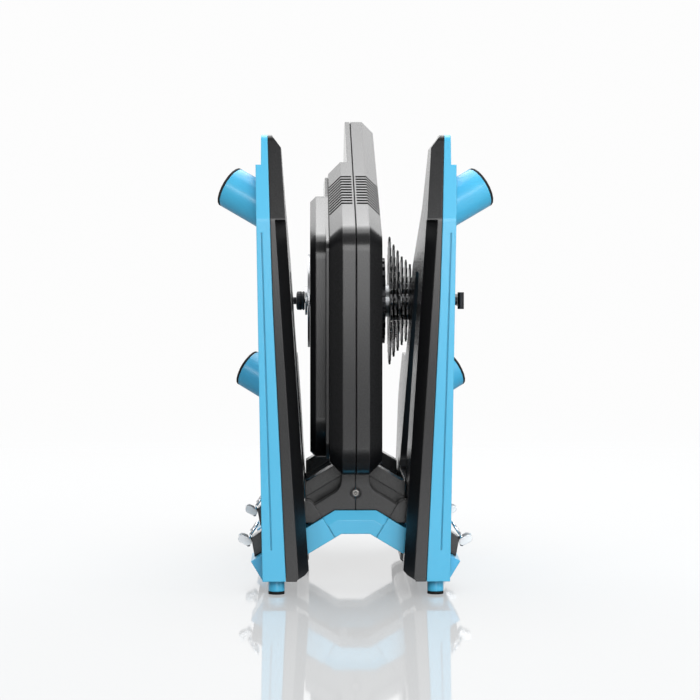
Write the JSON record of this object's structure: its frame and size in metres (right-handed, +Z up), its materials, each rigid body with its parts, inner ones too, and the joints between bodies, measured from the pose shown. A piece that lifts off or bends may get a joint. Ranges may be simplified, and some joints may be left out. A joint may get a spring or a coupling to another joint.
{
  "type": "direct drive bike trainer",
  "caption": "Direct drive bike trainer folded upright: slim belt-drive body with a cassette, on arched feet between two blue fold-out legs with black inner covers.",
  "frame": {"origin": "centre of the bounding box, on the floor the folded trainer stands on", "axes": "+X to the cassette side, +Y to the front (the tall rounded end of the body), +Z up"},
  "size_m": [0.2592, 0.607, 0.4575],
  "materials": {
    "black_metal": "black anodised",
    "black_plastic": "fine grained matt black",
    "blue": "satin blue powder coat",
    "board": "green laminate",
    "cast_alloy": "as cast",
    "cast_metal": "as cast",
    "chrome": "bright plated",
    "cog_steel": "hardened dark steel",
    "copper": "wound copper and magnets",
    "rubber": "matt",
    "steel": "machined"
  },
  "bodies": {
    "base": {"left_shell": "black_plastic", "right_shell": "black_plastic", "belt_cover": "black_plastic", "axle_disc": "steel", "axle": "steel", "chassis": "cast_alloy", "left_hub_bearing": "steel", "right_hub_bearing": "steel", "outer_shaft_bearing": "steel", "inner_shaft_bearing": "steel", "drive_belt": "rubber", "magnet_brake": "copper", "circuit_board": "board", "power_socket": "black_plastic", "rear_arch": "blue", "front_arch": "blue", "base_screw": "chrome", "left_rear_hinge_pin": "steel", "left_rear_latch_block": "black_plastic", "left_front_hinge_pin": "steel", "left_front_latch_block": "black_plastic", "right_rear_hinge_pin": "steel", "right_rear_latch_block": "black_plastic", "right_front_hinge_pin": "steel", "right_front_latch_block": "black_plastic"},
    "left_leg": {"left_leg_frame": "blue", "left_leg_cover": "black_plastic", "left_rear_foot_cap": "rubber", "left_front_foot_cap": "rubber", "left_rear_rest_pad": "rubber", "left_front_rest_pad": "rubber"},
    "right_leg": {"right_leg_frame": "blue", "right_leg_cover": "black_plastic", "right_rear_foot_cap": "rubber", "right_front_foot_cap": "rubber", "right_rear_rest_pad": "rubber", "right_front_rest_pad": "rubber"},
    "hub": {"hub_shaft": "steel", "large_pulley": "cast_metal"},
    "flywheel": {"flywheel_shaft": "steel", "flywheel": "cast_metal"},
    "cassette": {"freehub_body": "steel", "sensor_ring": "black_metal", "large_cogs": "cog_steel", "middle_cogs": "cog_steel", "cog_14": "cog_steel", "cog_12": "cog_steel", "cog_11": "cog_steel", "lockring": "black_metal"},
    "skewer": {"skewer_rod": "black_metal"},
    "skewer_nut": {"skewer_nut": "black_metal"},
    "skewer_lever": {"skewer_lever": "black_metal"},
    "left_rear_latch_lever": {"left_rear_latch_lever": "chrome"},
    "left_rear_bail": {"left_rear_bail": "chrome"},
    "left_front_latch_lever": {"left_front_latch_lever": "chrome"},
    "left_front_bail": {"left_front_bail": "chrome"},
    "right_rear_latch_lever": {"right_rear_latch_lever": "chrome"},
    "right_rear_bail": {"right_rear_bail": "chrome"},
    "right_front_latch_lever": {"right_front_latch_lever": "chrome"},
    "right_front_bail": {"right_front_bail": "chrome"}
  },
  "joints": [
    {"name": "left_leg_fold", "type": "hinge", "parent": "base", "child": "left_leg", "pos_m": [-0.07449, 0, 0.02994], "axis": [0, -1, 0], "range_deg": [0, 120]},
    {"name": "right_leg_fold", "type": "hinge", "parent": "base", "child": "right_leg", "pos_m": [0.07449, 0, 0.02994], "axis": [0, 1, 0], "range_deg": [0, 120]},
    {"name": "flywheel_spin", "type": "hinge", "parent": "base", "child": "flywheel", "pos_m": [0, -0.19424, 0.2025], "axis": [1, 0, 0], "continuous": true},
    {"name": "hub_spin", "type": "hinge", "parent": "base", "child": "hub", "pos_m": [0, 0.0215, 0.2665], "axis": [1, 0, 0], "continuous": true},
    {"name": "freewheel", "type": "hinge", "parent": "hub", "child": "cassette", "pos_m": [0.05, 0.0215, 0.2665], "axis": [1, 0, 0], "continuous": true},
    {"name": "skewer_turn", "type": "hinge", "parent": "base", "child": "skewer", "pos_m": [0, 0.0215, 0.2665], "axis": [1, 0, 0], "continuous": true},
    {"name": "skewer_nut_turn", "type": "hinge", "parent": "skewer", "child": "skewer_nut", "pos_m": [-0.053, 0.0215, 0.2665], "axis": [1, 0, 0], "continuous": true},
    {"name": "skewer_cam", "type": "hinge", "parent": "skewer", "child": "skewer_lever", "pos_m": [0.116, 0.0215, 0.2665], "axis": [0, 0, -1], "range_deg": [0, 180]},
    {"name": "left_rear_latch", "type": "hinge", "parent": "base", "child": "left_rear_latch_lever", "pos_m": [-0.1006, -0.2385, 0.0415], "axis": [0, -1, 0], "range_deg": [0, 100]},
    {"name": "left_rear_bail_swing", "type": "hinge", "parent": "left_rear_latch_lever", "child": "left_rear_bail", "pos_m": [-0.1006, -0.2385, 0.0495], "axis": [0, -1, 0], "range_deg": [0, 100]},
    {"name": "left_front_latch", "type": "hinge", "parent": "base", "child": "left_front_latch_lever", "pos_m": [-0.1006, 0.0185, 0.0415], "axis": [0, -1, 0], "range_deg": [0, 100]},
    {"name": "left_front_bail_swing", "type": "hinge", "parent": "left_front_latch_lever", "child": "left_front_bail", "pos_m": [-0.1006, 0.0185, 0.0495], "axis": [0, -1, 0], "range_deg": [0, 100]},
    {"name": "right_rear_latch", "type": "hinge", "parent": "base", "child": "right_rear_latch_lever", "pos_m": [0.1006, -0.2385, 0.0415], "axis": [0, 1, 0], "range_deg": [0, 100]},
    {"name": "right_rear_bail_swing", "type": "hinge", "parent": "right_rear_latch_lever", "child": "right_rear_bail", "pos_m": [0.1006, -0.2385, 0.0495], "axis": [0, 1, 0], "range_deg": [0, 100]},
    {"name": "right_front_latch", "type": "hinge", "parent": "base", "child": "right_front_latch_lever", "pos_m": [0.1006, 0.0185, 0.0415], "axis": [0, 1, 0], "range_deg": [0, 100]},
    {"name": "right_front_bail_swing", "type": "hinge", "parent": "right_front_latch_lever", "child": "right_front_bail", "pos_m": [0.1006, 0.0185, 0.0495], "axis": [0, 1, 0], "range_deg": [0, 100]}
  ],
  "couplings": [
    {"joint": "hub_spin", "follows": "flywheel_spin", "ratio": 0.19214}
  ]
}
